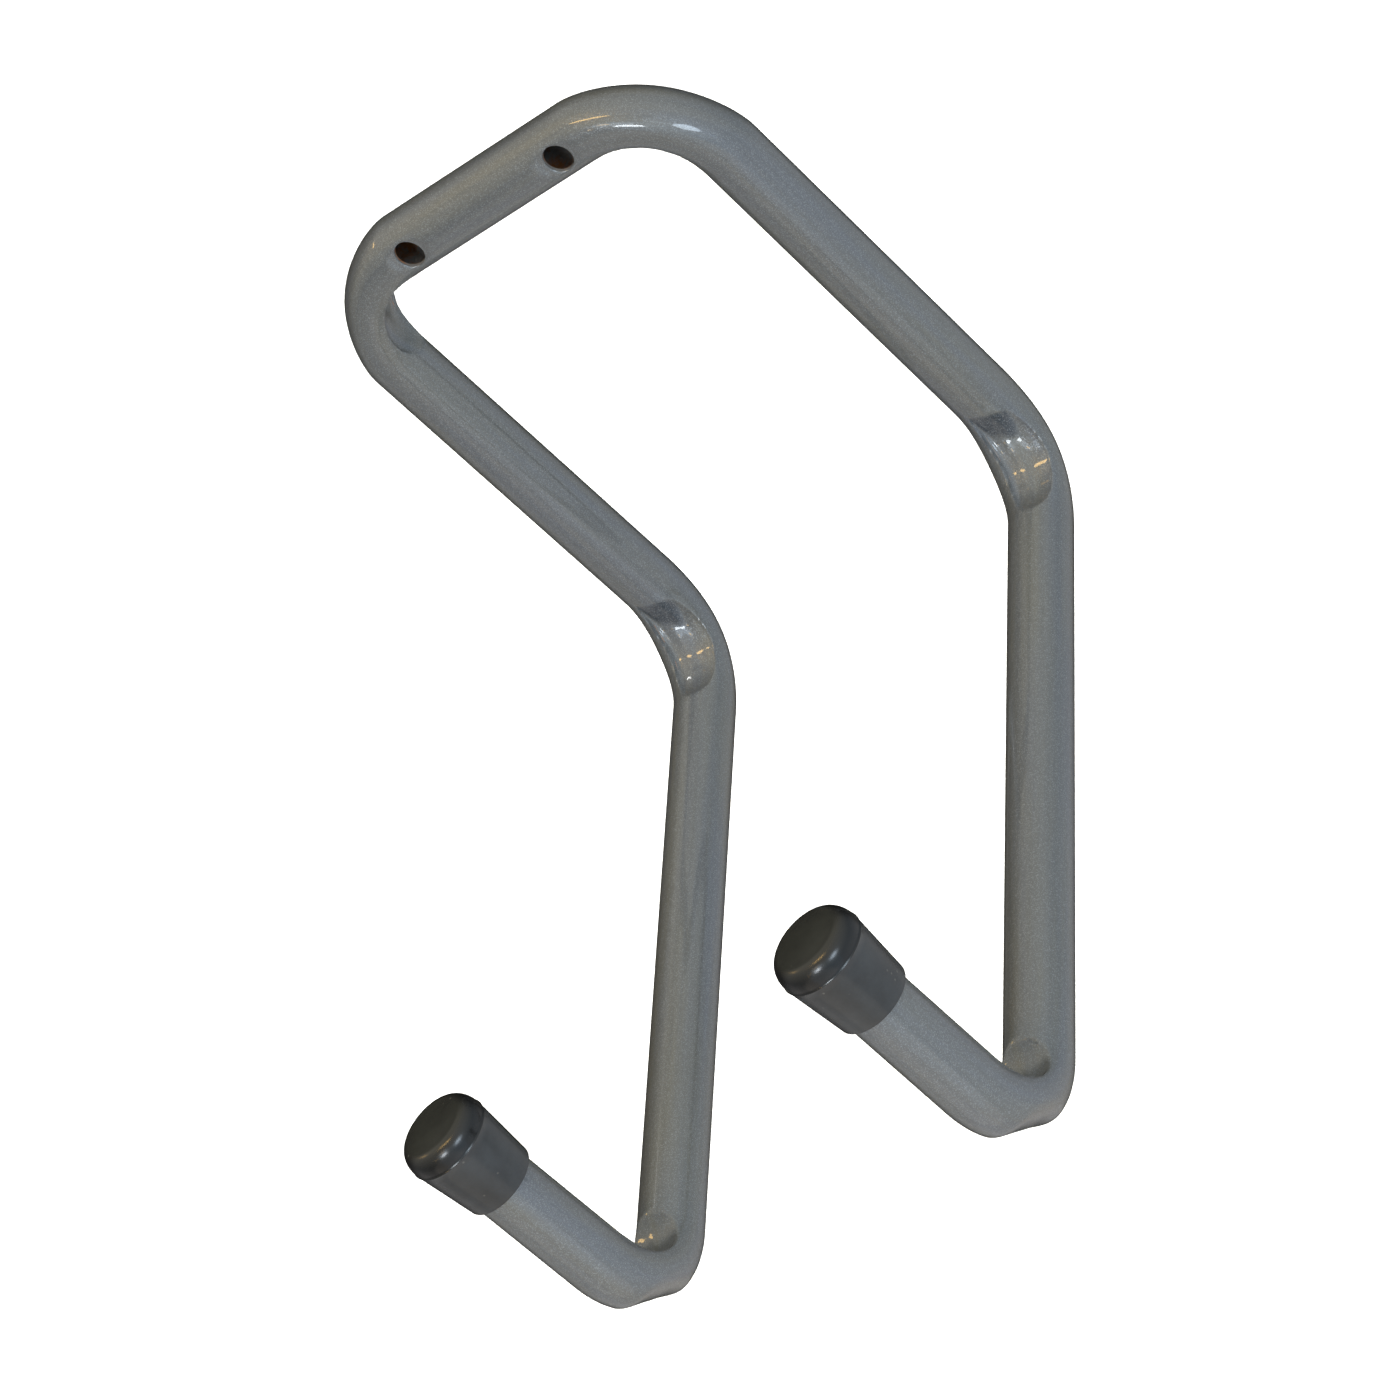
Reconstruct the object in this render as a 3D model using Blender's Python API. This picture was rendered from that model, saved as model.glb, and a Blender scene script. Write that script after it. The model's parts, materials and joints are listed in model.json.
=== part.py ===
"""A wall-mounted double hook, bent from one steel tube, with a push-on ferrule on each tip.

Two screws through the top bar hold it to the wall. From the bar, two legs run down the wall,
turn out into two arms, and turn up again at the tips, so that a load can't slide off.

Frame: the origin is on the wall, behind the middle of the top bar. +Z is up, +Y points into
the wall, and +X is to the right of someone who faces the hook. All lengths are in metres.
"""

import math
from collections import namedtuple

import bmesh
import bpy
from mathutils import Matrix, Vector

# Driving dimensions. Lengths along the tube are between the corners of its centreline.
TUBE_DIAMETER = 0.022
TUBE_WALL = 0.0015
BAR_LENGTH = 0.150
LEG_LENGTH = 0.194
ARM_LENGTH = 0.283
TIP_LENGTH = 0.1077  # up to the closed end of the ferrule
ARM_DROOP = math.radians(6.0)  # below horizontal
TIP_LEAN = math.radians(1.0)  # towards the wall

# The bending press dents the tube half way round each bend: on its inside, all along the bend,
# and on its outside, over a shorter reach. Where the inside goes in, the sides swell.
INSIDE_DENT_WIDTH = math.radians(58.0)  # half widths, round the tube
OUTSIDE_DENT_WIDTH = math.radians(80.0)
INSIDE_DENT_REACH = 0.5  # half lengths, as shares of the bend
DENT_STEEPNESS = 1.4

# Screw holes through the bar: a screwdriver and the screw's head pass the front wall of the
# tube, and the head stops on the back wall.
HOLE_SPACING = 0.067
ACCESS_HOLE_DIAMETER = 0.0095
SCREW_HOLE_DIAMETER = 0.0065

# Ferrules: a cup that widens from its open rim to its closed end.
FERRULE_LENGTH = 0.0306
FERRULE_BASE = 0.0050
FERRULE_RIM_DIAMETER = 0.0256
FERRULE_END_DIAMETER = 0.0298
FERRULE_EDGE_RADIUS = 0.0050
FERRULE_CROWN = 0.0006  # rise of the closed end's middle

CLEARANCE = 0.0003  # between the tube and a ferrule
SIDES = 24
BEND_STEPS = 12
EDGE_STEPS = 4

TUBE_RADIUS = TUBE_DIAMETER / 2

# A bend's centreline radius, the depth of its dent on the inside, the depth and reach of its
# dent on the outside, and how far each side swells.
Bend = namedtuple("Bend", "radius inside outside outside_reach swell")
BAR_BEND = Bend(0.036, 0.0048, 0.0026, 0.50, 0.0)
SHOULDER_BEND = Bend(0.0372, 0.0036, 0.0, 0.50, 0.0012)
TIP_BEND = Bend(0.0283, 0.0061, 0.0030, 0.26, 0.0006)

# A place on the centreline: its direction, its bend and the bend's outward direction there, and
# the share of the bend that lies behind it. On the straights there's no bend.
Station = namedtuple("Station", "point tangent bend outward share")


def clear_scene():
    for old in list(bpy.data.objects):
        bpy.data.objects.remove(old, do_unlink=True)


def metallic_paint():
    material = bpy.data.materials.new("metallic_grey_paint")
    material.use_nodes = True
    shader = material.node_tree.nodes["Principled BSDF"]
    shader.inputs["Base Color"].default_value = (0.20, 0.22, 0.22, 1.0)
    shader.inputs["Metallic"].default_value = 0.6
    shader.inputs["Roughness"].default_value = 0.35
    return material


def black_rubber():
    material = bpy.data.materials.new("black_rubber")
    material.use_nodes = True
    shader = material.node_tree.nodes["Principled BSDF"]
    shader.inputs["Base Color"].default_value = (0.02, 0.02, 0.021, 1.0)
    shader.inputs["Metallic"].default_value = 0.0
    shader.inputs["Roughness"].default_value = 0.45
    return material


def arm_direction():
    return Vector((0.0, -math.cos(ARM_DROOP), -math.sin(ARM_DROOP)))


def tip_direction():
    return Vector((0.0, math.sin(TIP_LEAN), math.cos(TIP_LEAN)))


def half_route(side):
    """Corners of the centreline from a tip to the top bar, on side -1 (left) or +1 (right)."""
    bar_end = Vector((side * BAR_LENGTH / 2, -TUBE_RADIUS, 0.0))
    shoulder = bar_end + Vector((0.0, 0.0, -LEG_LENGTH))
    tip_bend = shoulder + arm_direction() * ARM_LENGTH
    tube_end = tip_bend + tip_direction() * (TIP_LENGTH - FERRULE_BASE - CLEARANCE)
    return [tube_end, tip_bend, shoulder, bar_end]


def bend_stations(before, corner, after, bend):
    """Stations round one bend of the centreline."""
    arriving = (corner - before).normalized()
    leaving = (after - corner).normalized()
    turn = arriving.angle(leaving)
    axis = arriving.cross(leaving).normalized()
    start = corner - arriving * bend.radius * math.tan(turn / 2)
    centre = start + axis.cross(arriving) * bend.radius
    stations = []
    for step in range(BEND_STEPS + 1):
        share = step / BEND_STEPS
        rotation = Matrix.Rotation(turn * share, 3, axis)
        outward = rotation @ (start - centre).normalized()
        point = centre + outward * bend.radius
        stations.append(Station(point, rotation @ arriving, bend, outward, share))
    return stations


def tube_stations():
    """Every station of the tube, from the left tip round to the right tip."""
    corners = half_route(-1) + half_route(1)[::-1]
    bends = [TIP_BEND, SHOULDER_BEND, BAR_BEND, BAR_BEND, SHOULDER_BEND, TIP_BEND]
    first = (corners[1] - corners[0]).normalized()
    last = (corners[-1] - corners[-2]).normalized()
    stations = [Station(corners[0], first, None, None, 0.0)]
    for i, bend in enumerate(bends):
        stations += bend_stations(corners[i], corners[i + 1], corners[i + 2], bend)
    stations.append(Station(corners[-1], last, None, None, 0.0))
    return stations


def dent(angle, width, share, reach):
    """How deep a dent is at an angle from its middle and a share along the bend, from 1 in its
    middle down to 0 at its edge."""
    around = 1.0 - (angle / width) ** 2
    along = 1.0 - ((share - 0.5) / reach) ** 2
    return (max(around, 0.0) * max(along, 0.0)) ** DENT_STEEPNESS


def pressed(offset, station):
    """An offset from the centreline, moved as the bending press moves the tube's wall."""
    if station.bend is None:
        return offset
    bend = station.bend
    inward = -station.outward
    side = station.tangent.cross(inward)
    angle = math.atan2(offset.dot(side), offset.dot(inward))
    inside = bend.inside * dent(abs(angle), INSIDE_DENT_WIDTH, station.share, INSIDE_DENT_REACH)
    from_outside = math.pi - abs(angle)
    outside = bend.outside * dent(from_outside, OUTSIDE_DENT_WIDTH, station.share, bend.outside_reach)
    swell = bend.swell * math.sin(angle) * math.sin(math.pi * station.share) ** 2
    return offset + inward * (outside - inside) + side * swell


def sections(stations, radius):
    """The tube's section at each station: a polygon whose flats, and not corners, touch the
    circle, with one flat facing straight back, so that the bar and legs lie flat on the wall."""
    corner_radius = radius / math.cos(math.pi / SIDES)
    across = Vector((1.0, 0.0, 0.0))
    rings = []
    for previous, station in zip([stations[0]] + stations, stations):
        across = previous.tangent.rotation_difference(station.tangent) @ across
        upward = station.tangent.cross(across)
        ring = []
        for k in range(SIDES):
            angle = 2 * math.pi * (k + 0.5) / SIDES
            offset = (across * math.cos(angle) + upward * math.sin(angle)) * corner_radius
            ring.append(station.point + pressed(offset, station))
        rings.append(ring)
    return rings


def skin(mesh, first, second):
    """Joins two rings of vertices with a band of faces."""
    for k in range(len(first)):
        after = (k + 1) % len(first)
        mesh.faces.new((first[k], first[after], second[after], second[k]))


def finish_object(name, mesh, material, sharp_angle):
    """Turns a bmesh into a shaded object with its faces pointing out."""
    bmesh.ops.recalc_face_normals(mesh, faces=mesh.faces)
    data = bpy.data.meshes.new(name)
    mesh.to_mesh(data)
    mesh.free()
    data.materials.append(material)
    data.shade_smooth()
    data.set_sharp_from_angle(angle=math.radians(sharp_angle))
    made = bpy.data.objects.new(name, data)
    bpy.context.scene.collection.objects.link(made)
    return made


def turned(name, profile, material):
    """A solid turned about its own Z axis, with flats as the tube has them. The profile is
    (radius, height) points, and it starts and ends on the axis."""
    mesh = bmesh.new()
    rings = []
    for radius, height in profile[1:-1]:
        corner_radius = radius / math.cos(math.pi / SIDES)
        ring = []
        for k in range(SIDES):
            angle = 2 * math.pi * (k + 0.5) / SIDES
            corner = (corner_radius * math.cos(angle), corner_radius * math.sin(angle), height)
            ring.append(mesh.verts.new(corner))
        rings.append(ring)
    for first, second in zip(rings, rings[1:]):
        skin(mesh, first, second)
    for ring, (_, height) in ((rings[0], profile[0]), (rings[-1], profile[-1])):
        pole = mesh.verts.new((0.0, 0.0, height))
        for k in range(SIDES):
            mesh.faces.new((pole, ring[k], ring[(k + 1) % SIDES]))
    return finish_object(name, mesh, material, 40)


def drill(target, x, material):
    """Drills one stepped screw hole, wide through the tube's front and narrow through its back."""
    reach = TUBE_DIAMETER
    access = ACCESS_HOLE_DIAMETER / 2
    screw = SCREW_HOLE_DIAMETER / 2
    profile = [(0.0, -reach), (screw, -reach), (screw, 0.0), (access, 0.0), (access, reach), (0.0, reach)]
    cutter = turned(f"drill_at_{round(x * 1000)}_mm", profile, material)
    cutter.location = (x, -TUBE_RADIUS, 0.0)
    cutter.rotation_euler = (math.radians(90), 0.0, 0.0)
    cutter.display_type = "WIRE"
    cutter.hide_render = True
    cutter.parent = target.parent
    cut = target.modifiers.new("screw_hole", "BOOLEAN")
    cut.operation = "DIFFERENCE"
    cut.solver = "EXACT"
    cut.object = cutter


def build_tube(parent):
    """The bent tube, open at both ends, with its screw holes."""
    stations = tube_stations()
    mesh = bmesh.new()
    outer, inner = (
        [[mesh.verts.new(point) for point in ring] for ring in sections(stations, radius)]
        for radius in (TUBE_RADIUS, TUBE_RADIUS - TUBE_WALL)
    )
    for rings in (outer, inner):
        for first, second in zip(rings, rings[1:]):
            skin(mesh, first, second)
    skin(mesh, outer[0], inner[0])
    skin(mesh, outer[-1], inner[-1])
    paint = metallic_paint()
    tube = finish_object("bent_tube", mesh, paint, 40)
    tube.parent = parent
    for side in (-1, 1):
        drill(tube, side * HOLE_SPACING / 2, paint)


def ferrule_profile():
    """Half section of a ferrule, with its open rim at height 0 and its closed end on top."""
    bore = TUBE_RADIUS + CLEARANCE
    floor = FERRULE_LENGTH - FERRULE_BASE
    rim = FERRULE_RIM_DIAMETER / 2
    end = FERRULE_END_DIAMETER / 2
    edge_centre = (end - FERRULE_EDGE_RADIUS, FERRULE_LENGTH - FERRULE_CROWN - FERRULE_EDGE_RADIUS)
    profile = [(0.0, floor), (bore, floor), (bore, 0.0), (rim, 0.0)]
    for step in range(EDGE_STEPS + 1):
        angle = math.pi / 2 * step / EDGE_STEPS
        radius = edge_centre[0] + FERRULE_EDGE_RADIUS * math.cos(angle)
        height = edge_centre[1] + FERRULE_EDGE_RADIUS * math.sin(angle)
        profile.append((radius, height))
    profile.append((0.0, FERRULE_LENGTH))
    return profile


def build_ferrule(name, side, parent, material):
    """One ferrule, pushed over the tube's end."""
    tube_end = half_route(side)[0]
    rim_centre = tube_end - tip_direction() * (FERRULE_LENGTH - FERRULE_BASE - CLEARANCE)
    ferrule = turned(name, ferrule_profile(), material)
    ferrule.location = rim_centre
    ferrule.rotation_euler = (-TIP_LEAN, 0.0, 0.0)
    ferrule.parent = parent


def main():
    clear_scene()
    hook = bpy.data.objects.new("wall_hook", None)
    bpy.context.scene.collection.objects.link(hook)
    build_tube(hook)
    rubber = black_rubber()
    build_ferrule("ferrule_left", -1, hook, rubber)
    build_ferrule("ferrule_right", 1, hook, rubber)


main()
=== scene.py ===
"""The looks of a wall-mounted double hook: one press-bent steel tube in metallic grey paint, with a
black moulded ferrule on each upturned tip.

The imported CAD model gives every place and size. The tube's centreline is rebuilt from the CAD's
mounts and boxes, and a fine skin is swept along it, with the dents that the bending press left in
the six bends and the punched screw holes in the top bar. All lengths are in metres.
"""

import json
import math
from collections import namedtuple

import bmesh
import bpy
import numpy as np
from mathutils import Matrix, Vector


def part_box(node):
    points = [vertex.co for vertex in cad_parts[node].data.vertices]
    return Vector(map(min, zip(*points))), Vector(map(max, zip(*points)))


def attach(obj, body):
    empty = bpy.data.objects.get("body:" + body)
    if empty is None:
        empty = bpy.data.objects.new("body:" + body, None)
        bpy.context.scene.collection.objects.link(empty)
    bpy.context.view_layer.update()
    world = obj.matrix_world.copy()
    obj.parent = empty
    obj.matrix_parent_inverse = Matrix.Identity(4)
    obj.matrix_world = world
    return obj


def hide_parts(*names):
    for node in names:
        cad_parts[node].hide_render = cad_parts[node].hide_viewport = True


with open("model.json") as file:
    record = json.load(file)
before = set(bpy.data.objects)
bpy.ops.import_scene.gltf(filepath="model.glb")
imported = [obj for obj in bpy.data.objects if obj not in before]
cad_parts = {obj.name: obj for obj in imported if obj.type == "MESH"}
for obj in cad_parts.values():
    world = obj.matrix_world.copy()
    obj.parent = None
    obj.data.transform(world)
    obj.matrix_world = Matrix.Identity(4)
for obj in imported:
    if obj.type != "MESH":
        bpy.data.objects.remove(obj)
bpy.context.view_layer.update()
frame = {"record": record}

# What the CAD's boxes and mounts don't say about the tube: its wall and its bend radii.
TUBE_WALL = 0.0015
BAR_BEND_RADIUS = 0.0360
SHOULDER_BEND_RADIUS = 0.0372
TIP_BEND_RADIUS = 0.0283
TIP_LEAN = math.radians(1.0)  # the tips lean towards the wall
TUBE_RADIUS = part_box("bent_tube")[1][2]  # the bar's axis is at height 0

# Screw holes through the bar. The punch has pressed a flat seat round each one.
HOLE_SPACING = 0.067
ACCESS_HOLE_RADIUS = 0.00475
HOLE_STRETCH = 1.10  # the punch has left the front holes a little taller than they are wide
SCREW_HOLE_RADIUS = 0.00325
SEAT_DEPTH = 0.00115
SEAT_RADIUS = 0.0056
SEAT_END = 0.0088
RIM_ROUNDING = 0.0008

# Ferrules: a cup that widens from its open rim to its closed end.
FERRULE_LENGTH = 0.0306
FERRULE_BASE = 0.0050
FERRULE_RIM_RADIUS = 0.0128
FERRULE_END_RADIUS = 0.0149
FERRULE_EDGE_RADIUS = 0.0050
FERRULE_CROWN = 0.0006
FERRULE_EDGE_HEIGHT = 0.0072  # from the ridge at the widest part to the closed end
FERRULE_EDGE_POWER = 0.9  # of the rounded edge's section: 1 for a quarter of an oval
FERRULE_RIDGE = 0.0002  # how far the moulding's parting ridge stands out, and how high it is
FERRULE_RIM_ROUNDING = 0.0003
FERRULE_FLOOR_ROUNDING = 0.0006
CLEARANCE = 0.0003  # between the tube and a ferrule

# Fineness of the meshes: points round the tube, and the distance between its rings.
AROUND = 128
FINE_STEP = 0.0010  # along the bar
BEND_STEP = 0.0011
STRAIGHT_STEP = 0.0060
NEAR_BEND = 0.009  # how far the bend's step goes on into a straight run
INNER_EVERY = 6  # the bore has one ring for this many of the skin's, away from the holes
HOLE_ROWS = 0.0078  # half the length of the patch that holds a hole
HOLE_COLUMNS = 13  # half its width, in columns of the skin
# Rings of a hole's patch, as shares of the way from its round rim to its square border.
OUTER_PATCH_SHARES = (0.75, 0.5, 0.28, 0.12, 0.0)
INNER_PATCH_SHARES = (0.3, 0.65)
FERRULE_STEPS = 128  # points round a ferrule

# The camera, in the part's frame.
CAMERA_PLACE = Vector((0.79183, -1.17916, 0.57324))
CAMERA_VIEW = Vector((-0.53476, 0.70163, -0.47089))
CAMERA_UP = Vector((0.40649, 0.70216, 0.58459))
CAMERA_LENS = 121.27
CAMERA_SENSOR = 36.0
CAMERA_RANGE = (0.05, 50.0)
FLOOR_HEIGHT = -1.1
FLOOR_HALF_SIZE = 6.0

# The room's soft light: a colour for each side of it, fading to nothing at right angles.
ROOM = [
    ((0.0, 0.0, 1.0), (0.89, 0.85, 0.71)),
    ((0.0, 0.0, -1.0), (0.62, 0.57, 0.53)),
    ((-1.0, 0.0, 0.0), (0.23, 0.24, 0.25)),
    ((1.0, 0.0, 0.0), (0.52, 0.61, 0.70)),
]
DARK_SIDE = (-0.62, 0.78, -0.12)  # the room is dim behind the hook, as seen from the camera's side
DARK_EDGES = (0.38, 0.80)  # where the dimness starts and is full, as cosines from that side
DARK_LEFT = 0.10  # the share of the light that is left there
HOOK_MIDDLE = Vector((0.0, -0.15, -0.11))
WHITE = (1.0, 1.0, 1.0)
AMBER = (1.0, 0.62, 0.20)
# Lights on the hook: name, direction from its middle, distance, length, width, power and colour.
LIGHTS = [
    ("front_low", (0.0, -1.0, -0.40), 0.75, 1.0, 1.0, 1.10, (1.0, 0.89, 0.76)),
    ("front_right", (0.40, -1.0, 0.0), 0.75, 1.0, 1.0, 0.90, (0.46, 0.72, 1.0)),
    ("sky_front", (0.05, -0.80, 0.60), 2.6, 1.0, 0.8, 4.0, (0.66, 0.83, 1.0)),
    ("sky_right", (0.76, -0.56, 0.40), 2.6, 1.0, 0.60, 16.0, (0.72, 0.86, 1.0)),
    ("window", (0.08, -0.91, 0.42), 2.5, 0.62, 0.46, 15.0, (0.88, 0.94, 1.0)),
    ("lamp_high", (0.02, -0.28, 0.95), 2.6, 1.25, 0.20, 10.5, AMBER),
    ("lamp_front", (0.0, -0.76, 0.65), 2.6, 0.28, 0.22, 1.5, AMBER),
    ("lamp_left", (-0.267, -0.88, 0.392), 2.6, 0.14, 0.14, 0.7, AMBER),
    ("lamp_back", (-0.68, 0.03, 0.73), 2.6, 0.60, 0.13, 2.2, AMBER),
]
# Lights over the floor behind the hook: name, place, size, power and spread in degrees.
FLOOR_LIGHTS = [
    ("floor_near", (-1.0, 1.1, 1.9), 0.6, 16.0, 68.0),
    ("floor_far", (-2.2, 2.75, 1.9), 1.2, 26.0, 80.0),
]

# Colours of the paint, the bare steel, the rubber and the floor, with painted shade on the paint's
# dent facets and painted light and shade on the rubber.
PAINT_WARM = (0.152, 0.154, 0.145)
PAINT_COOL = (0.138, 0.149, 0.166)
PAINT_STREAK = (0.105, 0.112, 0.116)
# Painted shade: the dark colour given to the dents' facets, which face away from the light.
PAINT_FACET_SHADE = (0.050, 0.060, 0.076)
PAINT_SHEEN = (0.25, 0.25, 0.26)
FLAKE = (0.32, 0.34, 0.36)
STEEL_BARE = (0.26, 0.25, 0.24)
STEEL_RUST = (0.36, 0.15, 0.05)
# Painted light and shade on the rubber: the side is lightest, the closed end darker and the rounded
# edge near black, for how the light falls on each.
RUBBER_SIDE_LIT = (0.030, 0.034, 0.038)
RUBBER_EDGE_SHADE = (0.006, 0.006, 0.006)
RUBBER_END_SHADE = (0.026, 0.027, 0.023)
RUBBER_CLOUD = (0.008, 0.008, 0.008)
DUST = (0.16, 0.15, 0.13)
FLOOR = (0.93, 0.93, 0.93)

# Sizes of the textures, as repeats per metre.
FLAKES_SCALE = 4200.0
ORANGE_PEEL_SCALE = 260.0
RUST_SCALE = 110.0
PITTING_SCALE = 900.0
CLOUD_SCALE = 90.0
SPECK_SCALE = 420.0
GRAIN_SCALE = 2200.0
BROAD_STREAKS = (9.0, 130.0, 130.0)  # along the tube, and in the two directions across it
FINE_STREAKS = (14.0, 620.0, 620.0)
FLAKE_TILT = 0.22  # how far the flakes lean, as a share of the surface's normal


# --- Dents and bends -----------------------------------------------------------------------


DENT_SQUARENESS = 2.4  # of a dent's outline: 2 for an oval
RIPPLES = 7.8  # how fast the ripples follow one another round the tube, in waves per turn
FACET_EDGE = 0.0005  # how deep a facet has to be for its painted shade to be full

# One dent: its place along the bend (0 at the end nearer the tip, 1 at the end nearer the bar's
# middle), how far it reaches towards each end, its place round the tube and its widths towards
# each side, the direction it was pushed from (degrees from the bend's inside, positive towards +X
# or the wall), its depth, how its rim falls (below 1 for a sharp rim), the height of the
# lengthwise ripples in it, how far it drifts sideways towards the bar, and the facet that it
# starts with there.
Dent = namedtuple(
    "Dent",
    "middle before after side left right push depth steepness ripple drift facet",
    defaults=(0.0, 0.0, None),
)
# A facet: its edge's place along the bend, how that leans, and how far it sinks along the bend.
Facet = namedtuple("Facet", "edge lean sink")
# A bend: its radius, the angle of its inside round the tube, how far its sides swell, and its
# dents.
Bend = namedtuple("Bend", "radius inside swell dents")
# A place on the centreline, with the frame that the skin's ring there is laid in.
Station = namedtuple("Station", "point tangent across upward distance")

SHOULDER_FACET = Facet(0.960, 0.120, 0.0130)
SHOULDER_DENTS = [
    Dent(0.45, 0.48, 0.60, 12, 30, 54, 21, 0.0042, 0.80, 0.00028, 0.60, SHOULDER_FACET),
]
BAR_DENTS = [
    Dent(0.50, 0.50, 0.50, 0, 54, 54, 0, 0.0060, 0.85),
    Dent(0.50, 0.50, 0.50, 180, 80, 80, 180, 0.0024, 1.4),
]
TIP_DENTS = [
    Dent(0.50, 0.50, 0.52, 0, 70, 70, 0, 0.0080, 1.35),
    Dent(0.47, 0.22, 0.20, 180, 74, 74, 180, 0.0025, 1.3),
]
TIP_BEND = Bend(TIP_BEND_RADIUS, -90, 0.0006, TIP_DENTS)
SHOULDER_BEND = Bend(SHOULDER_BEND_RADIUS, -90, 0.0012, SHOULDER_DENTS)
BAR_BEND = Bend(BAR_BEND_RADIUS, 0, 0.0, BAR_DENTS)


# --- The tube's centreline, from the frame -------------------------------------------------


def mount(name):
    """Place and axis of one of the record's mounts."""
    found = next(m for m in frame["record"]["mounts"] if m["name"] == name)
    return Vector(found["pos_m"]), Vector(found["axis"])


def tip_direction():
    return Vector((0.0, math.sin(TIP_LEAN), math.cos(TIP_LEAN)))


def ferrule_end(node):
    """Middle of a ferrule's closed end, from its box: its widest ring gives its place along Y."""
    low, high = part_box(node)
    widest_to_end = FERRULE_CROWN + FERRULE_EDGE_RADIUS
    lean = tip_direction() * widest_to_end
    return Vector(((low[0] + high[0]) / 2, (low[1] + high[1]) / 2 + lean.y, high[2]))


def crossing(point, direction, other, other_direction):
    """Where two lines of a plane that holds X constant meet."""
    gap = other - point
    along = (gap.y * other_direction.z - gap.z * other_direction.y) / (
        direction.y * other_direction.z - direction.z * other_direction.y
    )
    return point + direction * along


def half_route(side):
    """Corners of the centreline from a tip to the top bar, on side "left" or "right"."""
    arm_top, arm_normal = mount(f"arm_top_{side}")
    leg_back, _ = mount(f"wall_face_{side}_leg")
    arm_middle = arm_top - arm_normal * TUBE_RADIUS
    arm_direction = Vector((0.0, -arm_normal.z, arm_normal.y))
    leg_middle = leg_back - Vector((0.0, TUBE_RADIUS, 0.0))
    end = ferrule_end(f"ferrule_{side}")
    shoulder = crossing(arm_middle, arm_direction, leg_middle, Vector((0.0, 0.0, 1.0)))
    tip_bend = crossing(arm_middle, arm_direction, end, tip_direction())
    tube_end = end - tip_direction() * (FERRULE_BASE + CLEARANCE)
    bar_end = Vector((leg_middle.x, leg_middle.y, 0.0))
    return [tube_end, tip_bend, shoulder, bar_end]


def spread(start, end, step):
    """Distances from start up to end, the end left out, no more than a step apart."""
    count = max(1, math.ceil((end - start) / step - 1e-6))
    return [start + (end - start) * i / count for i in range(count)]


class Route:
    """The tube's centreline from the left tip to the right tip, with a frame carried along it."""

    def __init__(self):
        self.corners = half_route("left") + half_route("right")[::-1]
        half = [TIP_BEND, SHOULDER_BEND, BAR_BEND]
        self.bends = half + half[::-1]
        self.stations = []
        self.bend_spans = []

    def lay(self):
        """Fills the stations, walking from one end to the other."""
        point = self.corners[0]
        tangent = (self.corners[1] - self.corners[0]).normalized()
        across = Vector((1.0, 0.0, 0.0))
        distance = 0.0
        for i, bend in enumerate(self.bends):
            leaving = (self.corners[i + 2] - self.corners[i + 1]).normalized()
            turn = tangent.angle(leaving)
            setback = bend.radius * math.tan(turn / 2)
            straight = (self.corners[i + 1] - point).length - setback
            distance = self.add_straight(point, tangent, across, distance, straight)
            point = point + tangent * straight
            axis = tangent.cross(leaving).normalized()
            self.bend_spans.append((distance, distance + bend.radius * turn))
            point, across, distance = self.add_arc(
                point, tangent, across, distance, axis, turn, bend.radius
            )
            tangent = leaving
        straight = (self.corners[-1] - point).length
        distance = self.add_straight(point, tangent, across, distance, straight)
        self.add(self.corners[-1], tangent, across, distance)
        return self

    def add(self, point, tangent, across, distance):
        upward = tangent.cross(across)
        self.stations.append(Station(point.copy(), tangent.copy(), across.copy(), upward, distance))

    def add_straight(self, point, tangent, across, distance, length):
        """A straight run. The bar is fine all along, for its holes, and the others near bends."""
        is_bar = abs(tangent.x) > 0.9
        if is_bar or length < 2 * NEAR_BEND:
            marks = spread(0.0, length, FINE_STEP)
        else:
            marks = spread(0.0, NEAR_BEND, BEND_STEP)
            marks += spread(NEAR_BEND, length - NEAR_BEND, STRAIGHT_STEP)
            marks += spread(length - NEAR_BEND, length, BEND_STEP)
        for mark in marks:
            self.add(point + tangent * mark, tangent, across, distance + mark)
        return distance + length

    def add_arc(self, point, tangent, across, distance, axis, turn, radius):
        """A bend about an axis. Gives the place, the frame and the distance at its end."""
        centre = point + axis.cross(tangent) * radius
        for angle in spread(0.0, turn, BEND_STEP / radius):
            rotation = Matrix.Rotation(angle, 3, axis)
            spot = centre + rotation @ (point - centre)
            self.add(spot, rotation @ tangent, rotation @ across, distance + angle * radius)
        rotation = Matrix.Rotation(turn, 3, axis)
        return centre + rotation @ (point - centre), rotation @ across, distance + turn * radius


# --- The tube's skin -----------------------------------------------------------------------


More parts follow.
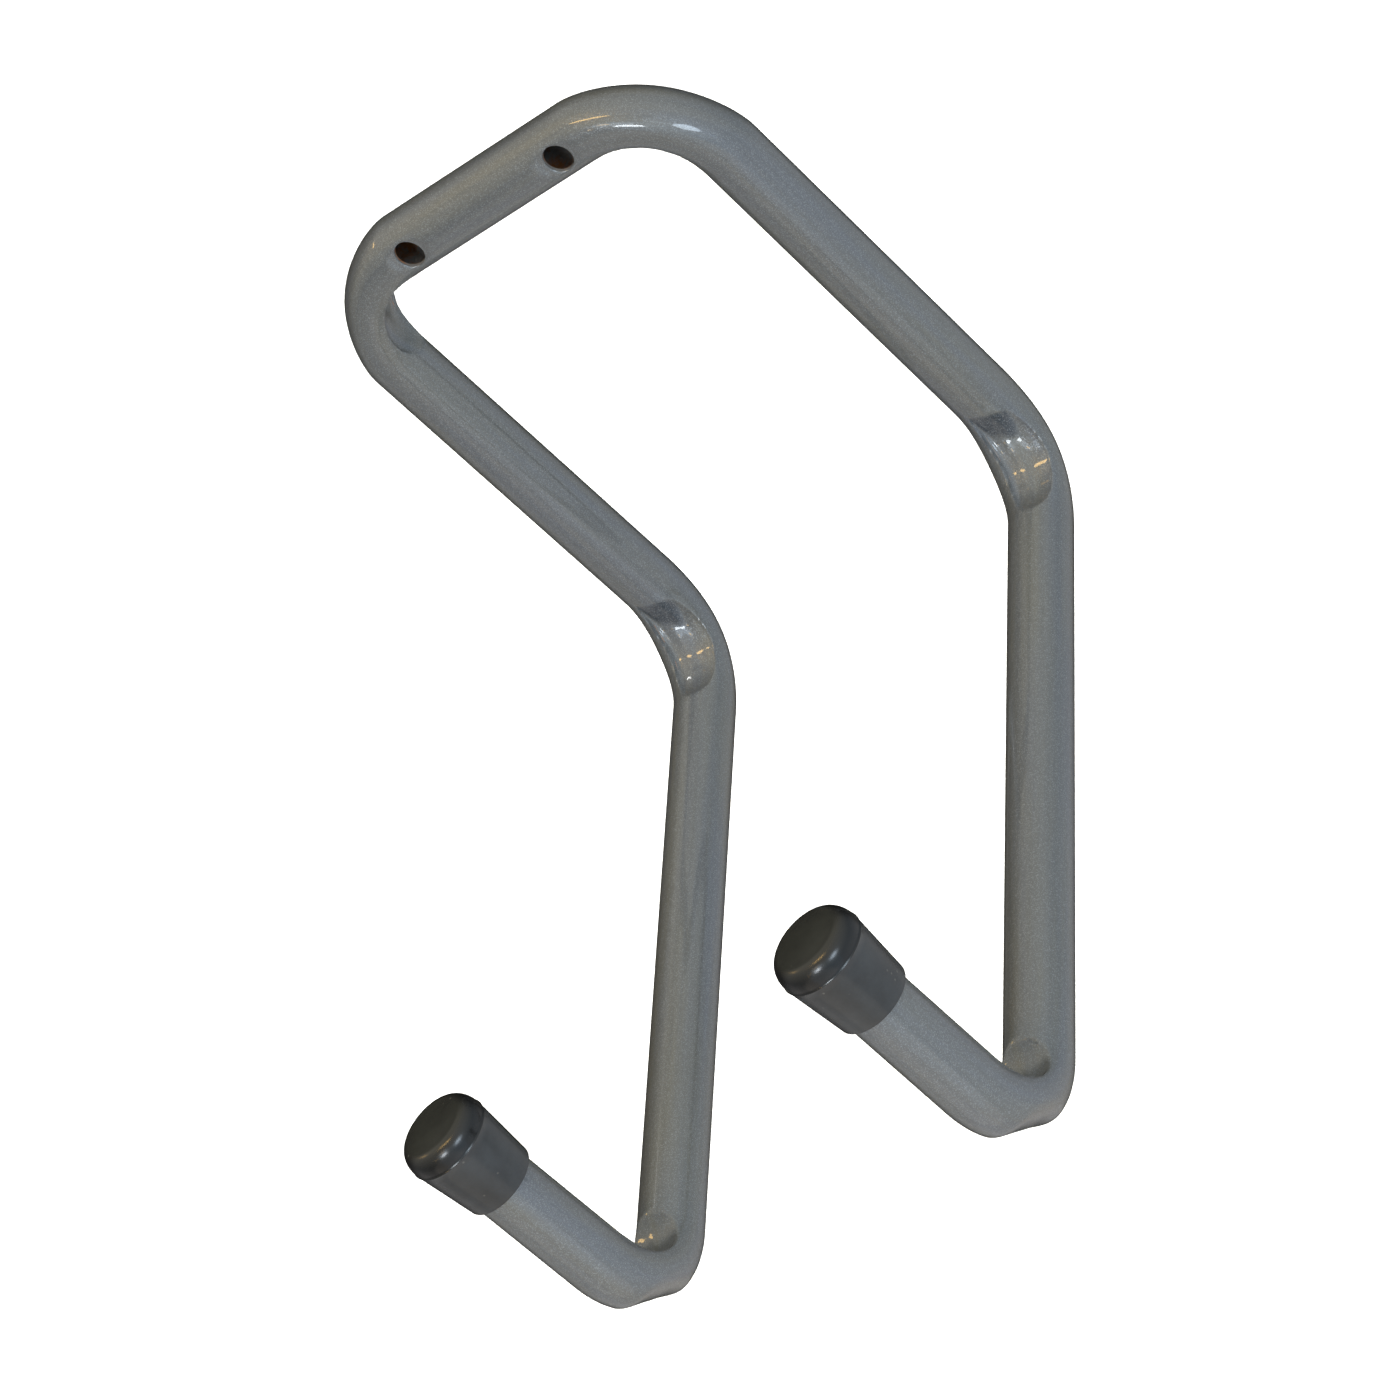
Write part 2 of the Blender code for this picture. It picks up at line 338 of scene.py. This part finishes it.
def dented(route, angles):
    """How far each point of the skin has moved, as distances across and upward, and how far it's on
    a dent's facet, which sets its painted shade: three grids with a row for each station and a
    column for each angle."""
    distance = np.array([s.distance for s in route.stations])[:, None]
    moved = np.zeros((3, len(route.stations), len(angles)))
    for i, (bend, (start, end)) in enumerate(zip(route.bends, route.bend_spans)):
        on_right = i >= len(route.bends) // 2
        share = (distance - start) / (end - start)
        if on_right:
            share = 1.0 - share
        mirror = -1.0 if on_right and bend.inside else 1.0
        inside = math.radians(bend.inside)
        height = bend.swell * np.sin(math.pi * np.clip(share, 0.0, 1.0)) ** 2
        swell = height * np.sin(angles - inside)
        moved[0] -= swell * math.sin(inside)
        moved[1] += swell * math.cos(inside)
        for dent in bend.dents:
            centre = math.radians(bend.inside + mirror * dent.side)
            around = mirror * ((angles - centre + math.pi) % (2 * math.pi) - math.pi)
            around = around + dent.drift * np.clip(share - dent.middle, 0.0, 0.5)
            width = np.radians(np.where(around < 0.0, dent.left, dent.right))
            reach = (share - dent.middle) / np.where(share < dent.middle, dent.before, dent.after)
            outline = abs(reach) ** DENT_SQUARENESS + abs(around / width) ** DENT_SQUARENESS
            inner = np.clip(1.0 - outline, 0.0, 1.0)
            ripple = dent.ripple * inner * np.cos(RIPPLES * around)
            depth = dent.depth * inner**dent.steepness - ripple
            if dent.facet:
                before_edge = dent.facet.edge - dent.facet.lean * around - share
                sunk = dent.facet.sink * np.clip(before_edge, 0.0, None)
                # The third grid is how far the point is on the facet, where the paint is darkened
                # as painted shade.
                moved[2] += np.clip(np.minimum(sunk, depth - sunk) / FACET_EDGE, 0.0, 1.0)
                depth = np.minimum(depth, sunk)
            push = math.radians(bend.inside + mirror * dent.push)
            moved[0] -= depth * math.cos(push)
            moved[1] -= depth * math.sin(push)
    return moved


def skin_points(route, radius):
    """Points of the skin at one radius, as an array of stations, angles and coordinates."""
    angles = 2 * math.pi * np.arange(AROUND) / AROUND
    moved = dented(route, angles)
    place = np.array([s.point for s in route.stations])[:, None, :]
    across = np.array([s.across for s in route.stations])[:, None, :]
    upward = np.array([s.upward for s in route.stations])[:, None, :]
    sideways = radius * np.cos(angles) + moved[0]
    upwards = radius * np.sin(angles) + moved[1]
    points = place + across * sideways[:, :, None] + upward * upwards[:, :, None]
    for hole in (-HOLE_SPACING / 2, HOLE_SPACING / 2):
        depth = dish(points[:, :, 0] - hole, points[:, :, 2])
        front = points[:, :, 1] < -TUBE_RADIUS
        points[:, :, 1] += np.where(front, depth, 0.0)
    return points


def dish(x, z):
    """How far the punch has pressed the bar's front in, at a place across a hole."""
    crest = np.sqrt(np.clip(TUBE_RADIUS**2 - z**2, 0.0, None)) - (TUBE_RADIUS - SEAT_DEPTH)
    share = np.clip((SEAT_END - np.hypot(x, z)) / (SEAT_END - SEAT_RADIUS), 0.0, 1.0)
    return np.clip(crest, 0.0, None) * share**2 * (3.0 - 2.0 * share)


PAINT, STEEL = 0, 1  # the tube's two materials, in the order that its object has them


class Skin:
    """The mesh of the tube while it is built: vertices, faces and a material for each face."""

    def __init__(self):
        self.points = []
        self.faces = []
        self.materials = []

    def add_points(self, points):
        first = len(self.points)
        self.points.extend(tuple(float(v) for v in p) for p in points)
        return list(range(first, len(self.points)))

    def add_face(self, corners, material):
        self.faces.append(corners)
        self.materials.append(material)

    def band(self, first, second, material):
        """Faces between two rings."""
        for k in range(len(first)):
            after = (k + 1) % len(first)
            self.add_face((first[k], first[after], second[after], second[k]), material)


def patch_rows(points, hole):
    """First and last row of the skin that a hole's patch spans."""
    rows = np.flatnonzero(abs(points[:, 0, 0] - hole) <= HOLE_ROWS)
    return int(rows[0]), int(rows[-1])


def block_border(rows, columns):
    """Grid places round a block, once round."""
    (top, bottom), (left, right) = rows, columns
    border = [(top, k) for k in range(left, right)]
    border += [(i, right) for i in range(top, bottom)]
    border += [(bottom, k) for k in range(right, left, -1)]
    border += [(i, left) for i in range(bottom, top, -1)]
    return [(i, k % AROUND) for i, k in border]


def hole_patch(skin, border, points, hole, radius, facing):
    """Fills a square gap in the outer and inner skins with a round hole through the wall. Facing is
    -1 at the bar's front, where the punch has pressed the seat, and 1 at its back."""
    outer = np.array([points["outer"][i, k] for i, k in border])
    inner = np.array([points["inner"][i, k] for i, k in border])
    angle = np.arctan2(outer[:, 2], outer[:, 0] - hole)
    inner_radius = TUBE_RADIUS - TUBE_WALL
    in_front = facing < 0

    def circle(size):
        stretch = HOLE_STRETCH if in_front else 1.0
        return hole + size * np.cos(angle), size * np.sin(angle) * stretch

    def skin_y(x, z, tube_radius):
        """Y of the bar's skin at a place across it."""
        y = -TUBE_RADIUS + facing * np.sqrt(tube_radius**2 - z**2)
        return y + (dish(x - hole, z) if in_front else 0.0)

    def ring_between(start, tube_radius, size, share):
        """A ring part of the way from the square border, share 1, to the circle, share 0."""
        circle_x, circle_z = circle(size)
        x = start[:, 0] * share + circle_x * (1 - share)
        z = start[:, 2] * share + circle_z * (1 - share)
        error = start[:, 1] - skin_y(start[:, 0], start[:, 2], tube_radius)
        y = skin_y(x, z, tube_radius) + error * share
        return skin.add_points(np.stack([x, y, z], axis=1))

    def wall_ring(size, tube_radius, inset):
        """A ring of the hole's rim or wall, set in from the skin."""
        x, z = circle(size)
        y = skin_y(x, z, tube_radius) - facing * inset
        return skin.add_points(np.stack([x, y, z], axis=1))

    lip = radius + RIM_ROUNDING
    rings = [(skin.outer_ids(border), PAINT)]
    for share in OUTER_PATCH_SHARES:
        rings.append((ring_between(outer, TUBE_RADIUS, lip, share), PAINT))
    for turn in (30, 60, 90):
        size = lip - RIM_ROUNDING * math.sin(math.radians(turn))
        inset = RIM_ROUNDING * (1 - math.cos(math.radians(turn)))
        rings.append((wall_ring(size, TUBE_RADIUS, inset), PAINT))
    middle = (TUBE_RADIUS + inner_radius) / 2 - RIM_ROUNDING / 2
    rings.append((wall_ring(radius, middle, 0.0), STEEL))
    rings.append((wall_ring(radius, inner_radius, 0.0), STEEL))
    for share in INNER_PATCH_SHARES:
        rings.append((ring_between(inner, inner_radius, radius, share), STEEL))
    rings.append((skin.inner_ids(border), STEEL))
    for (first, _), (second, material) in zip(rings, rings[1:]):
        skin.band(first, second, material)


class TubeSkin(Skin):
    """The tube: its outside, its bore, its two ends and its holes."""

    def __init__(self, route):
        super().__init__()
        outer = skin_points(route, TUBE_RADIUS)
        inner = skin_points(route, TUBE_RADIUS - TUBE_WALL)
        blocks = [patch_rows(outer, side * HOLE_SPACING / 2) for side in (-1, 1)]
        rows = len(route.stations)
        kept = {*range(0, rows, INNER_EVERY), rows - 1}
        for first, last in blocks:
            kept.update(range(first, last + 1))
        kept = sorted(kept)
        self.outer_grid = [self.add_points(ring) for ring in outer]
        self.inner_grid = {i: self.add_points(inner[i]) for i in kept}
        self.fill(list(range(rows)), self.outer_grid, blocks, PAINT)
        self.fill(kept, self.inner_grid, blocks, STEEL)
        self.band(self.outer_grid[0], self.inner_grid[0], STEEL)
        self.band(self.outer_grid[-1], self.inner_grid[rows - 1], STEEL)
        points = {"outer": outer, "inner": inner}
        for block, side in zip(blocks, (-1, 1)):
            hole = side * HOLE_SPACING / 2
            for middle, facing, radius in self.hole_sides():
                border = block_border(block, (middle - HOLE_COLUMNS, middle + HOLE_COLUMNS))
                hole_patch(self, border, points, hole, radius, facing)

    def hole_sides(self):
        """Middle column, facing and radius of the hole in the bar's front and in its back."""
        return ((AROUND * 3 // 4, -1, ACCESS_HOLE_RADIUS), (AROUND // 4, 1, SCREW_HOLE_RADIUS))

    def outer_ids(self, border):
        return [self.outer_grid[i][k] for i, k in border]

    def inner_ids(self, border):
        return [self.inner_grid[i][k] for i, k in border]

    def fill(self, rows, grid, blocks, material):
        """Faces between rings, except where the holes' patches go."""
        patched = set()
        for middle, _, _ in self.hole_sides():
            patched.update(range(middle - HOLE_COLUMNS, middle + HOLE_COLUMNS))
        for first, second in zip(rows, rows[1:]):
            in_block = any(start <= first < end for start, end in blocks)
            for k in range(AROUND):
                if in_block and k in patched:
                    continue
                after = (k + 1) % AROUND
                corners = (grid[first][k], grid[first][after], grid[second][after], grid[second][k])
                self.add_face(corners, material)


def build_object(name, points, faces, materials, face_materials=None, sharp=None):
    """A smooth mesh object, with edges kept sharp above an angle in degrees where one is given."""
    data = bpy.data.meshes.new(name)
    data.from_pydata(points, [], faces)
    for material in materials:
        data.materials.append(material)
    if face_materials is not None:
        data.polygons.foreach_set("material_index", face_materials)
    mesh = bmesh.new()
    mesh.from_mesh(data)
    bmesh.ops.recalc_face_normals(mesh, faces=mesh.faces)
    mesh.to_mesh(data)
    mesh.free()
    data.shade_smooth()
    if sharp:
        data.set_sharp_from_angle(angle=math.radians(sharp))
    data.update()
    made = bpy.data.objects.new(name, data)
    bpy.context.scene.collection.objects.link(made)
    return made


def store_tube_places(tube, route):
    """Stores where each point of the outer skin is along and round the tube, and how far it's on a
    dent's facet, where the paint gets painted shade. The outer skin's points come first in the
    mesh."""
    stations = route.stations
    places = np.zeros((len(tube.data.vertices), 3))
    angles = 2 * math.pi * np.arange(AROUND) / AROUND
    count = len(stations) * AROUND
    places[:count, 0] = np.repeat([s.distance for s in stations], AROUND)
    places[:count, 1] = np.tile(TUBE_RADIUS * np.cos(angles), len(stations))
    places[:count, 2] = np.tile(TUBE_RADIUS * np.sin(angles), len(stations))
    facet_shade = np.zeros(len(tube.data.vertices))
    facet_shade[:count] = dented(route, angles)[2].ravel()
    attribute = tube.data.attributes.new("tube_place", "FLOAT_VECTOR", "POINT")
    attribute.data.foreach_set("vector", places.ravel())
    attribute = tube.data.attributes.new("facet_shade", "FLOAT", "POINT")
    attribute.data.foreach_set("value", facet_shade)


# --- Ferrules ------------------------------------------------------------------------------


def arc_points(centre, radius, start, end, steps):
    """Points of an arc in the ferrule's half section, from one angle to another in degrees."""
    points = []
    for i in range(steps + 1):
        angle = math.radians(start + (end - start) * i / steps)
        points.append((centre[0] + radius * math.cos(angle), centre[1] + radius * math.sin(angle)))
    return points


def ferrule_profile():
    """Half section of a ferrule, from the middle of its floor inside to the middle of its end."""
    bore = TUBE_RADIUS + CLEARANCE
    floor = FERRULE_LENGTH - FERRULE_BASE
    corner = FERRULE_FLOOR_ROUNDING
    rounding = FERRULE_RIM_ROUNDING
    end_height = FERRULE_LENGTH - FERRULE_CROWN
    ridge = end_height - FERRULE_EDGE_HEIGHT
    profile = [(0.0, floor), (bore * 0.5, floor), (bore - corner - 0.0002, floor)]
    profile += arc_points((bore - corner, floor - corner), corner, 90, 0, 3)
    profile += [(bore, floor * 0.5)]
    profile += arc_points((bore + rounding, rounding), rounding, 180, 270, 4)
    profile += arc_points((FERRULE_RIM_RADIUS - rounding, rounding), rounding, 270, 360, 4)
    widest = FERRULE_END_RADIUS - FERRULE_RIDGE
    for share in (0.12, 0.3, 0.5, 0.7, 0.88, 0.97):
        radius = FERRULE_RIM_RADIUS + (widest - FERRULE_RIM_RADIUS) * share
        profile.append((radius, rounding + (ridge - rounding) * share))
    profile.append((FERRULE_END_RADIUS - FERRULE_RIDGE / 5, ridge - FERRULE_RIDGE))
    profile.append((FERRULE_END_RADIUS, ridge - FERRULE_RIDGE / 2))
    flat = widest - FERRULE_EDGE_RADIUS
    for angle in range(0, 91, 6):
        out = math.cos(math.radians(angle)) ** FERRULE_EDGE_POWER
        up = math.sin(math.radians(angle)) ** FERRULE_EDGE_POWER
        profile.append((flat + FERRULE_EDGE_RADIUS * out, ridge + (end_height - ridge) * up))
    for share in (0.85, 0.6, 0.35, 0.15):
        profile.append((flat * share, end_height + FERRULE_CROWN * (1 - share**2)))
    profile.append((0.0, FERRULE_LENGTH))
    return profile


def build_ferrule(side, material):
    """A ferrule, its section turned about its axis, placed over a tip."""
    profile = ferrule_profile()
    points, faces, rings = [], [], []
    for radius, height in profile[1:-1]:
        rings.append(range(len(points), len(points) + FERRULE_STEPS))
        for k in range(FERRULE_STEPS):
            angle = 2 * math.pi * k / FERRULE_STEPS
            points.append((radius * math.cos(angle), radius * math.sin(angle), height))
    for first, second in zip(rings, rings[1:]):
        for k in range(FERRULE_STEPS):
            after = (k + 1) % FERRULE_STEPS
            faces.append((first[k], first[after], second[after], second[k]))
    for ring, (_, height) in ((rings[0], profile[0]), (rings[-1], profile[-1])):
        pole = len(points)
        points.append((0.0, 0.0, height))
        faces += [(pole, ring[k], ring[(k + 1) % FERRULE_STEPS]) for k in range(FERRULE_STEPS)]
    piece = build_object(f"ferrule_{side}_moulding", points, faces, [material])
    form = piece.data.attributes.new("form", "FLOAT_VECTOR", "POINT")
    form.data.foreach_set("vector", [v for x, y, z in points for v in (math.hypot(x, y), z, 0.0)])
    foot = ferrule_end(f"ferrule_{side}") - tip_direction() * FERRULE_LENGTH
    piece.data.transform(Matrix.Translation(foot) @ Matrix.Rotation(-TIP_LEAN, 4, "X"))
    return piece


# --- Materials -----------------------------------------------------------------------------


class Nodes:
    """Short calls for building a tree of shading nodes. Each gives the new node's output."""

    def __init__(self, owner):
        owner.use_nodes = True
        self.tree = owner.node_tree

    def add(self, kind, **values):
        node = self.tree.nodes.new(kind)
        for key, value in values.items():
            setattr(node, key, value)
        return node

    def feed(self, source, target):
        """Links a socket, or sets a value, to an input."""
        if isinstance(source, bpy.types.NodeSocket):
            self.tree.links.new(source, target)
        else:
            target.default_value = source

    def attribute(self, name, output):
        return self.add("ShaderNodeAttribute", attribute_name=name).outputs[output]

    def noise(self, vector, scale, detail=3.0, roughness=0.5):
        node = self.add("ShaderNodeTexNoise")
        for name, value in (("Scale", scale), ("Detail", detail), ("Roughness", roughness)):
            node.inputs[name].default_value = value
        self.feed(vector, node.inputs["Vector"])
        return node.outputs["Fac"]

    def cells(self, vector, scale):
        """Cells with a random colour each. Gives the node and its colour's three parts."""
        node = self.add("ShaderNodeTexVoronoi", feature="F1")
        node.inputs["Scale"].default_value = scale
        self.feed(vector, node.inputs["Vector"])
        split = self.add("ShaderNodeSeparateColor")
        self.feed(node.outputs["Color"], split.inputs["Color"])
        return node, split.outputs

    def stretch(self, vector, scale):
        node = self.add("ShaderNodeMapping")
        node.inputs["Scale"].default_value = scale
        self.feed(vector, node.inputs["Vector"])
        return node.outputs["Vector"]

    def ramp(self, value, low, high, to_low=0.0, to_high=1.0, **values):
        node = self.add("ShaderNodeMapRange", **values)
        ends = (("From Min", low), ("From Max", high), ("To Min", to_low), ("To Max", to_high))
        for name, end in ends:
            node.inputs[name].default_value = end
        self.feed(value, node.inputs["Value"])
        return node.outputs["Result"]

    def mix(self, share, first, second):
        node = self.add("ShaderNodeMix", data_type="RGBA")
        self.feed(share, node.inputs["Factor"])
        for socket, colour in ((node.inputs["A"], first), (node.inputs["B"], second)):
            self.feed((*colour, 1.0) if isinstance(colour, tuple) else colour, socket)
        return node.outputs["Result"]

    def bump(self, height, strength, distance):
        node = self.add("ShaderNodeBump")
        node.inputs["Strength"].default_value = strength
        node.inputs["Distance"].default_value = distance
        self.feed(height, node.inputs["Height"])
        return node.outputs["Normal"]

    def number(self, operation, *terms):
        node = self.add("ShaderNodeMath", operation=operation)
        for socket, term in zip(node.inputs, terms):
            self.feed(term, socket)
        return node.outputs["Value"]

    def vector(self, operation, *terms, output="Vector"):
        """Vector arithmetic. Its output is "Value" where the result is a number."""
        node = self.add("ShaderNodeVectorMath", operation=operation)
        for socket, term in zip(node.inputs, terms):
            self.feed(term, socket)
        return node.outputs[output]


class Material(Nodes):
    """A material with the usual surface node."""

    def __init__(self, name):
        self.material = bpy.data.materials.new(name)
        super().__init__(self.material)
        self.surface = self.tree.nodes["Principled BSDF"].inputs

    def object_place(self):
        return self.add("ShaderNodeTexCoord").outputs["Object"]

    def set(self, **values):
        """Links or sets the surface's inputs, named with _ for a space."""
        for name, value in values.items():
            self.feed(value, self.surface[name.replace("_", " ")])


def metallic_paint():
    """Grey paint with fine metal flakes, each lying at its own angle, under a clear coat, with
    painted shade on the dents' facets.
    """
    m = Material("metallic_grey_paint")
    place = m.object_place()
    flakes, chance = m.cells(place, FLAKES_SCALE)
    drawn = m.attribute("tube_place", "Vector")
    broad = m.noise(m.stretch(drawn, BROAD_STREAKS), 1.0, 3.0, 0.55)
    tone = m.mix(m.ramp(broad, 0.36, 0.64), PAINT_WARM, PAINT_COOL)
    fine = m.noise(m.stretch(drawn, FINE_STREAKS), 1.0, 4.0, 0.6)
    tone = m.mix(m.ramp(fine, 0.45, 0.75, 0.0, 0.45), tone, PAINT_STREAK)
    # Painted shade: the paint turns dark where a dent's facet faces away from the light.
    facet_shade = m.attribute("facet_shade", "Fac")
    tone = m.mix(m.ramp(facet_shade, 0.0, 1.0, 0.0, 0.85), tone, PAINT_FACET_SHADE)
    bright = m.ramp(chance["Red"], 0.68, 1.0, 0.0, 0.48)
    orange_peel = m.bump(m.noise(place, ORANGE_PEEL_SCALE, 2.0, 0.5), 0.035, 0.0003)
    spread_out, centred = (FLAKE_TILT,) * 3, (-FLAKE_TILT / 2,) * 3
    tilt = m.vector("MULTIPLY_ADD", flakes.outputs["Color"], spread_out, centred)
    m.set(
        Base_Color=m.mix(bright, tone, FLAKE),
        Roughness=m.ramp(chance["Green"], 0.0, 1.0, 0.30, 0.50),
        Normal=m.vector("NORMALIZE", m.vector("ADD", orange_peel, tilt)),
        Coat_Normal=orange_peel,
        Metallic=0.35,
        Specular_IOR_Level=0.2,
        Specular_Tint=(*PAINT_SHEEN, 1.0),
        Coat_Weight=1.0,
        Coat_Roughness=0.05,
        Coat_IOR=1.45,
    )
    return m.material


def raw_steel():
    """The unpainted bore: dull steel, browned with light rust."""
    m = Material("raw_steel")
    place = m.object_place()
    rust = m.ramp(m.noise(place, RUST_SCALE, 6.0, 0.65), 0.44, 0.60)
    m.set(
        Base_Color=m.mix(rust, STEEL_BARE, STEEL_RUST),
        Roughness=m.ramp(rust, 0.0, 1.0, 0.45, 0.85),
        Normal=m.bump(m.noise(place, PITTING_SCALE, 4.0), 0.3, 0.0003),
        Metallic=0.3,
    )
    return m.material


def black_rubber():
    """Satin black moulding with a fine grain and a little dust. Painted light and shade set its
    tone: lightest on its side, darker on its closed end and near black on its rounded edge.
    """
    m = Material("black_rubber")
    place = m.object_place()
    cloud = m.ramp(m.noise(place, CLOUD_SCALE, 5.0, 0.6), 0.3, 0.7)
    parts = m.add("ShaderNodeSeparateXYZ")  # the distance from the axis, and the height
    m.feed(m.attribute("form", "Vector"), parts.inputs["Vector"])
    ridge = FERRULE_LENGTH - FERRULE_CROWN - FERRULE_EDGE_HEIGHT
    flat = FERRULE_END_RADIUS - FERRULE_EDGE_RADIUS
    # Painted light and shade: the zone a point lies in picks the lit side's, the shaded end's or
    # the shaded edge's colour.
    on_end = m.ramp(parts.outputs["X"], flat + 0.0030, flat + 0.0002)
    on_side = m.ramp(parts.outputs["Y"], ridge, ridge - 0.0003)
    tone = m.mix(on_side, m.mix(on_end, RUBBER_EDGE_SHADE, RUBBER_END_SHADE), RUBBER_SIDE_LIT)
    tone = m.mix(m.ramp(cloud, 0.0, 1.0, 0.0, 0.5), tone, RUBBER_CLOUD)
    specks, chance = m.cells(place, SPECK_SCALE)
    chosen = m.ramp(chance["Red"], 0.93, 0.95)
    speck = m.number("MULTIPLY", chosen, m.ramp(specks.outputs["Distance"], 0.22, 0.08))
    m.set(
        Base_Color=m.mix(m.ramp(speck, 0.0, 1.0, 0.0, 0.35), tone, DUST),
        Roughness=m.ramp(cloud, 0.0, 1.0, 0.42, 0.52),
        Normal=m.bump(m.noise(place, GRAIN_SCALE, 3.0, 0.6), 0.10, 0.0002),
        Specular_IOR_Level=0.05,
        Coat_Weight=1.0,
        Coat_Roughness=0.23,
    )
    return m.material


# --- Stage, light and camera ---------------------------------------------------------------


def build_floor():
    mesh = bmesh.new()
    bmesh.ops.create_grid(mesh, x_segments=2, y_segments=2, size=FLOOR_HALF_SIZE)
    data = bpy.data.meshes.new("floor")
    mesh.to_mesh(data)
    mesh.free()
    floor = bpy.data.objects.new("floor", data)
    floor.location = (0.0, 0.0, FLOOR_HEIGHT)
    bpy.context.scene.collection.objects.link(floor)
    m = Material("pale_floor")
    m.set(Base_Color=(*FLOOR, 1.0), Roughness=0.9, Specular_IOR_Level=0.1)
    data.materials.append(m.material)
    floor.visible_glossy = False


def area_light(name, place, target, length, width, power, colour, spread=180.0):
    """A soft oval light that faces a target. The length is level and the width is across it."""
    data = bpy.data.lights.new(name, "AREA")
    data.shape = "ELLIPSE"
    data.size = length
    data.size_y = width
    data.energy = power
    data.color = colour
    data.spread = math.radians(spread)
    light = bpy.data.objects.new(name, data)
    light.location = place
    light.rotation_euler = (Vector(target) - Vector(place)).to_track_quat("-Z", "Y").to_euler()
    bpy.context.scene.collection.objects.link(light)


def build_lights():
    """Large soft lights in front, small or narrow bright ones for the glints, and two over the part
    of the floor behind the hook."""
    for name, direction, distance, length, width, power, colour in LIGHTS:
        place = HOOK_MIDDLE + Vector(direction).normalized() * distance
        area_light(name, place, HOOK_MIDDLE, length, width, power, colour)
    for name, place, size, power, spread in FLOOR_LIGHTS:
        below = (place[0], place[1], FLOOR_HEIGHT)
        area_light(name, place, below, size, size, power, WHITE, spread)


def build_world():
    """The room's soft light, which fades towards its dim side."""
    world = bpy.data.worlds.new("studio")
    w = Nodes(world)
    direction = w.add("ShaderNodeTexCoord").outputs["Generated"]
    total = None
    for side, colour in ROOM:
        share = w.number("MAXIMUM", w.vector("DOT_PRODUCT", direction, side, output="Value"), 0.0)
        tinted = w.add("ShaderNodeVectorMath", operation="SCALE")
        w.feed(colour, tinted.inputs["Vector"])
        w.feed(share, tinted.inputs["Scale"])
        light = tinted.outputs["Vector"]
        total = w.vector("ADD", total, light) if total else light
    dim_side = Vector(DARK_SIDE).normalized()
    towards = w.vector("DOT_PRODUCT", direction, dim_side, output="Value")
    left = w.ramp(towards, *DARK_EDGES, 1.0, DARK_LEFT, interpolation_type="SMOOTHSTEP")
    background = w.tree.nodes["Background"]
    w.feed(total, background.inputs["Color"])
    w.feed(left, background.inputs["Strength"])
    bpy.context.scene.world = world


def build_camera():
    data = bpy.data.cameras.new("camera")
    data.lens = CAMERA_LENS
    data.sensor_width = CAMERA_SENSOR
    data.clip_start, data.clip_end = CAMERA_RANGE
    camera = bpy.data.objects.new("camera", data)
    back = -CAMERA_VIEW.normalized()
    right = CAMERA_UP.cross(back).normalized()
    turned = Matrix((right, back.cross(right), back)).transposed().to_4x4()
    camera.matrix_world = Matrix.Translation(CAMERA_PLACE) @ turned
    bpy.context.scene.collection.objects.link(camera)
    bpy.context.scene.camera = camera


# --- Assembly ------------------------------------------------------------------------------


def build_tube():
    route = Route().lay()
    skin = TubeSkin(route)
    materials = [metallic_paint(), raw_steel()]
    tube = build_object("bent_tube_skin", skin.points, skin.faces, materials, skin.materials, 50)
    store_tube_places(tube, route)
    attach(tube, "root")
    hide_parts("bent_tube")


def build_ferrules():
    rubber = black_rubber()
    for side in ("left", "right"):
        ferrule = build_ferrule(side, rubber)
        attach(ferrule, "root")
        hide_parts(f"ferrule_{side}")


build_camera()
build_tube()
build_ferrules()
build_floor()
build_world()
build_lights()
bpy.context.scene.view_settings.view_transform = "Standard"
